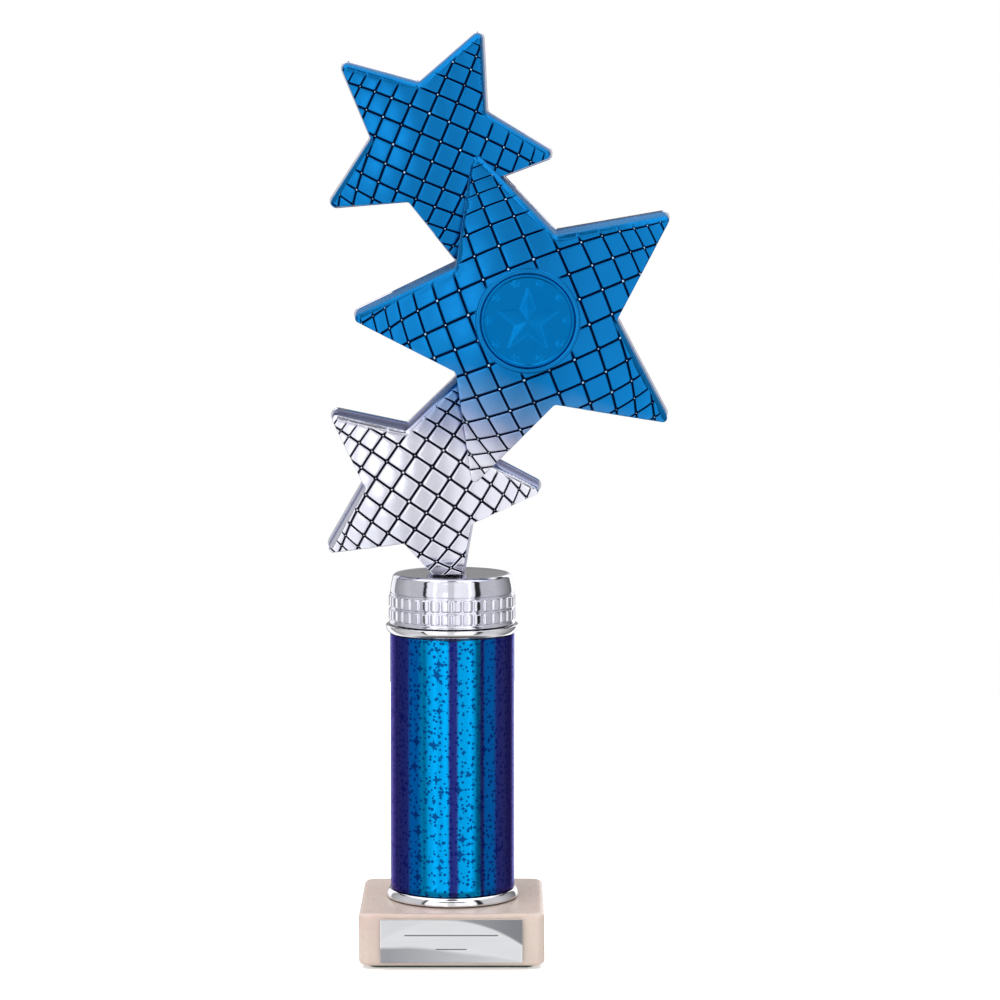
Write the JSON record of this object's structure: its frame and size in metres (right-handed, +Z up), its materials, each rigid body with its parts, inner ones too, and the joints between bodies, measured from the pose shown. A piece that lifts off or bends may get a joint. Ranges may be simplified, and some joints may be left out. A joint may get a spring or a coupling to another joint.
{
  "type": "column trophy",
  "caption": "Column trophy: a joined figure of fat stars with a tiled pattern on a chromed riser, a foil-wrapped tube and a small marble base with an engraving plate.",
  "frame": {"origin": "middle of the felt pad's underside, on the column's axis, where the trophy stands on a shelf", "axes": "+Z up along the column, -Y towards the viewer from the engraving plate, +X to the viewer's right"},
  "size_m": [0.093, 0.0511, 0.2504],
  "materials": {
    "felt": "dense short felt, dark green",
    "marble": "pale pink and cream marble with faint veins, tumbled edges, half polished",
    "adhesive": "double-sided foam film",
    "engraving_metal": "bright silver anodised sheet",
    "steel": "zinc plated",
    "cap_metal": "pressed and chromed, mirror bright",
    "tube_core": "plain extruded tube",
    "prismatic_foil": "blue to indigo prismatic foil with small stars and dots, glossy",
    "silver_chrome": "vacuum-metallised plastic, bright silver",
    "blue_chrome": "vacuum-metallised plastic, sprayed translucent blue above and left silver below, dark painted grooves",
    "disc_film": "embossed metallised film under the same blue spray"
  },
  "bodies": {
    "root": {"felt_pad": "felt", "marble_base": "marble", "plate_adhesive": "adhesive", "engraving_plate": "engraving_metal", "base_nut": "steel", "base_lock_washer": "steel", "base_washer": "steel", "tie_rod": "steel", "lower_end_cap": "cap_metal", "column_tube": "tube_core", "column_foil": "prismatic_foil", "upper_end_cap": "cap_metal", "riser": "silver_chrome", "riser_washer": "steel", "riser_nut": "steel", "coupling_nut": "steel", "figure_stud": "steel", "figure_front_shell": "blue_chrome", "figure_back_cover": "silver_chrome", "disc_adhesive": "adhesive", "centre_disc": "disc_film"}
  },
  "joints": []
}
